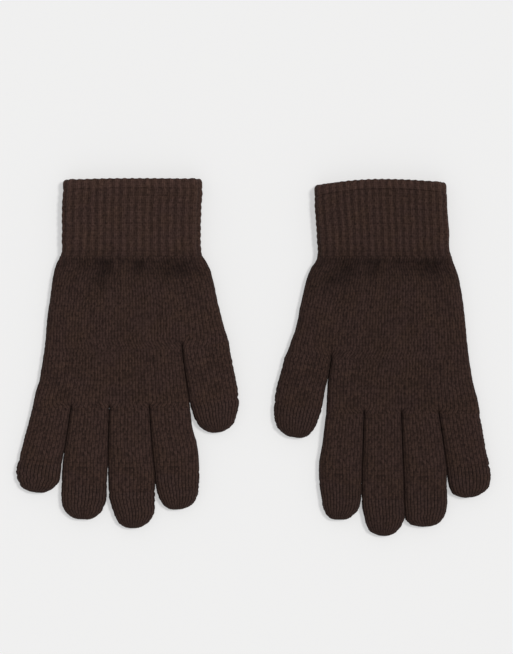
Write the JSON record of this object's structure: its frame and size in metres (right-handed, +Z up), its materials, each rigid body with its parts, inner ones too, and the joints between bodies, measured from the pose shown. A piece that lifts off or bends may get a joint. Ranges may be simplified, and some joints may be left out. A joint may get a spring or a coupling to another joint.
{
  "type": "touchscreen gloves",
  "caption": "Knitted left and right gloves lying flat with the palms up, with a ribbed elastic cuff, folding fingers and thumb, and conductive tips for touchscreens.",
  "frame": {"origin": "centre of the pair's footprint, on the surface that the gloves lie on", "axes": "+X from the left hand glove to the right hand glove, +Y from the fingertips to the cuffs, +Z up from the table, out of the palms"},
  "size_m": [0.3118, 0.2358, 0.0136],
  "materials": {
    "knit_yarn": "matte fine knit, very dark brown",
    "rib_yarn": "matte ribbed knit, very dark brown",
    "conductive_tip_yarn": "matte fine knit with a conductive fibre, very dark brown",
    "elastic_thread": "covered elastic thread, very dark brown"
  },
  "bodies": {
    "left_hand": {"left_hand_lower": "knit_yarn", "left_hand_upper": "knit_yarn"},
    "left_wrist_cuff": {"left_cuff": "rib_yarn", "left_cuff_elastic": "elastic_thread", "left_cuff_hem": "rib_yarn"},
    "left_little_near": {"left_little_root": "knit_yarn"},
    "left_little_far": {"left_little_shaft": "knit_yarn", "left_little_touch_tip": "conductive_tip_yarn"},
    "left_ring_near": {"left_ring_root": "knit_yarn"},
    "left_ring_far": {"left_ring_shaft": "knit_yarn", "left_ring_touch_tip": "conductive_tip_yarn"},
    "left_middle_near": {"left_middle_root": "knit_yarn"},
    "left_middle_far": {"left_middle_shaft": "knit_yarn", "left_middle_touch_tip": "conductive_tip_yarn"},
    "left_index_near": {"left_index_root": "knit_yarn"},
    "left_index_far": {"left_index_shaft": "knit_yarn", "left_index_touch_tip": "conductive_tip_yarn"},
    "left_thumb_near": {"left_thumb_root": "knit_yarn"},
    "left_thumb_far": {"left_thumb_shaft": "knit_yarn", "left_thumb_touch_tip": "conductive_tip_yarn"},
    "right_hand": {"right_hand_lower": "knit_yarn", "right_hand_upper": "knit_yarn"},
    "right_wrist_cuff": {"right_cuff": "rib_yarn", "right_cuff_elastic": "elastic_thread", "right_cuff_hem": "rib_yarn"},
    "right_little_near": {"right_little_root": "knit_yarn"},
    "right_little_far": {"right_little_shaft": "knit_yarn", "right_little_touch_tip": "conductive_tip_yarn"},
    "right_ring_near": {"right_ring_root": "knit_yarn"},
    "right_ring_far": {"right_ring_shaft": "knit_yarn", "right_ring_touch_tip": "conductive_tip_yarn"},
    "right_middle_near": {"right_middle_root": "knit_yarn"},
    "right_middle_far": {"right_middle_shaft": "knit_yarn", "right_middle_touch_tip": "conductive_tip_yarn"},
    "right_index_near": {"right_index_root": "knit_yarn"},
    "right_index_far": {"right_index_shaft": "knit_yarn", "right_index_touch_tip": "conductive_tip_yarn"},
    "right_thumb_near": {"right_thumb_root": "knit_yarn"},
    "right_thumb_far": {"right_thumb_shaft": "knit_yarn", "right_thumb_touch_tip": "conductive_tip_yarn"}
  },
  "joints": [
    {"name": "right_glove_lift", "type": "slide", "parent": "left_hand", "child": "right_hand", "axis": [0, 0, 1], "range_m": [0, 0.12]},
    {"name": "left_wrist_fold", "type": "hinge", "parent": "left_hand", "child": "left_wrist_cuff", "pos_m": [-0.08083, 0.06581, 0.011], "axis": [1, 0, 0], "range_deg": [0, 60]},
    {"name": "left_little_knuckle", "type": "hinge", "parent": "left_hand", "child": "left_little_near", "pos_m": [-0.13331, -0.03385, 0.009], "axis": [-1, 0, 0], "range_deg": [0, 70]},
    {"name": "left_little_middle_joint", "type": "hinge", "parent": "left_little_near", "child": "left_little_far", "pos_m": [-0.1385, -0.05885, 0.009], "axis": [-1, 0, 0], "range_deg": [0, 80]},
    {"name": "left_ring_knuckle", "type": "hinge", "parent": "left_hand", "child": "left_ring_near", "pos_m": [-0.10798, -0.03385, 0.009], "axis": [-1, 0, 0], "range_deg": [0, 70]},
    {"name": "left_ring_middle_joint", "type": "hinge", "parent": "left_ring_near", "child": "left_ring_far", "pos_m": [-0.11014, -0.05885, 0.009], "axis": [-1, 0, 0], "range_deg": [0, 80]},
    {"name": "left_middle_knuckle", "type": "hinge", "parent": "left_hand", "child": "left_middle_near", "pos_m": [-0.08218, -0.03385, 0.009], "axis": [-1, 0, 0], "range_deg": [0, 70]},
    {"name": "left_middle_middle_joint", "type": "hinge", "parent": "left_middle_near", "child": "left_middle_far", "pos_m": [-0.08166, -0.05885, 0.009], "axis": [-1, 0, 0], "range_deg": [0, 80]},
    {"name": "left_index_knuckle", "type": "hinge", "parent": "left_hand", "child": "left_index_near", "pos_m": [-0.05575, -0.03385, 0.009], "axis": [-1, 0, 0], "range_deg": [0, 70]},
    {"name": "left_index_middle_joint", "type": "hinge", "parent": "left_index_near", "child": "left_index_far", "pos_m": [-0.0524, -0.05885, 0.009], "axis": [-1, 0, 0], "range_deg": [0, 80]},
    {"name": "left_thumb_knuckle", "type": "hinge", "parent": "left_hand", "child": "left_thumb_near", "pos_m": [-0.03173, 0.00761, 0.009], "axis": [-0.9917, -0.1288, 0], "range_deg": [0, 55]},
    {"name": "left_thumb_end_joint", "type": "hinge", "parent": "left_thumb_near", "child": "left_thumb_far", "pos_m": [-0.0279, -0.0171, 0.009], "axis": [-0.9917, -0.1288, 0], "range_deg": [0, 70]},
    {"name": "right_wrist_fold", "type": "hinge", "parent": "right_hand", "child": "right_wrist_cuff", "pos_m": [0.08602, 0.06581, 0.011], "axis": [1, 0, 0], "range_deg": [0, 60]},
    {"name": "right_little_knuckle", "type": "hinge", "parent": "right_hand", "child": "right_little_near", "pos_m": [0.1357, -0.03769, 0.009], "axis": [-1, 0, 0], "range_deg": [0, 70]},
    {"name": "right_little_middle_joint", "type": "hinge", "parent": "right_little_near", "child": "right_little_far", "pos_m": [0.13983, -0.06269, 0.009], "axis": [-1, 0, 0], "range_deg": [0, 80]},
    {"name": "right_ring_knuckle", "type": "hinge", "parent": "right_hand", "child": "right_ring_near", "pos_m": [0.10984, -0.03769, 0.009], "axis": [-1, 0, 0], "range_deg": [0, 70]},
    {"name": "right_ring_middle_joint", "type": "hinge", "parent": "right_ring_near", "child": "right_ring_far", "pos_m": [0.11211, -0.06269, 0.009], "axis": [-1, 0, 0], "range_deg": [0, 80]},
    {"name": "right_middle_knuckle", "type": "hinge", "parent": "right_hand", "child": "right_middle_near", "pos_m": [0.08512, -0.03769, 0.009], "axis": [-1, 0, 0], "range_deg": [0, 70]},
    {"name": "right_middle_middle_joint", "type": "hinge", "parent": "right_middle_near", "child": "right_middle_far", "pos_m": [0.08522, -0.06269, 0.009], "axis": [-1, 0, 0], "range_deg": [0, 80]},
    {"name": "right_index_knuckle", "type": "hinge", "parent": "right_hand", "child": "right_index_near", "pos_m": [0.06027, -0.03769, 0.009], "axis": [-1, 0, 0], "range_deg": [0, 70]},
    {"name": "right_index_middle_joint", "type": "hinge", "parent": "right_index_near", "child": "right_index_far", "pos_m": [0.05818, -0.06269, 0.009], "axis": [-1, 0, 0], "range_deg": [0, 80]},
    {"name": "right_thumb_knuckle", "type": "hinge", "parent": "right_hand", "child": "right_thumb_near", "pos_m": [0.03702, 0.00101, 0.009], "axis": [-0.99, 0.1409, 0], "range_deg": [0, 55]},
    {"name": "right_thumb_end_joint", "type": "hinge", "parent": "right_thumb_near", "child": "right_thumb_far", "pos_m": [0.03104, -0.02238, 0.009], "axis": [-0.99, 0.1409, 0], "range_deg": [0, 70]}
  ]
}
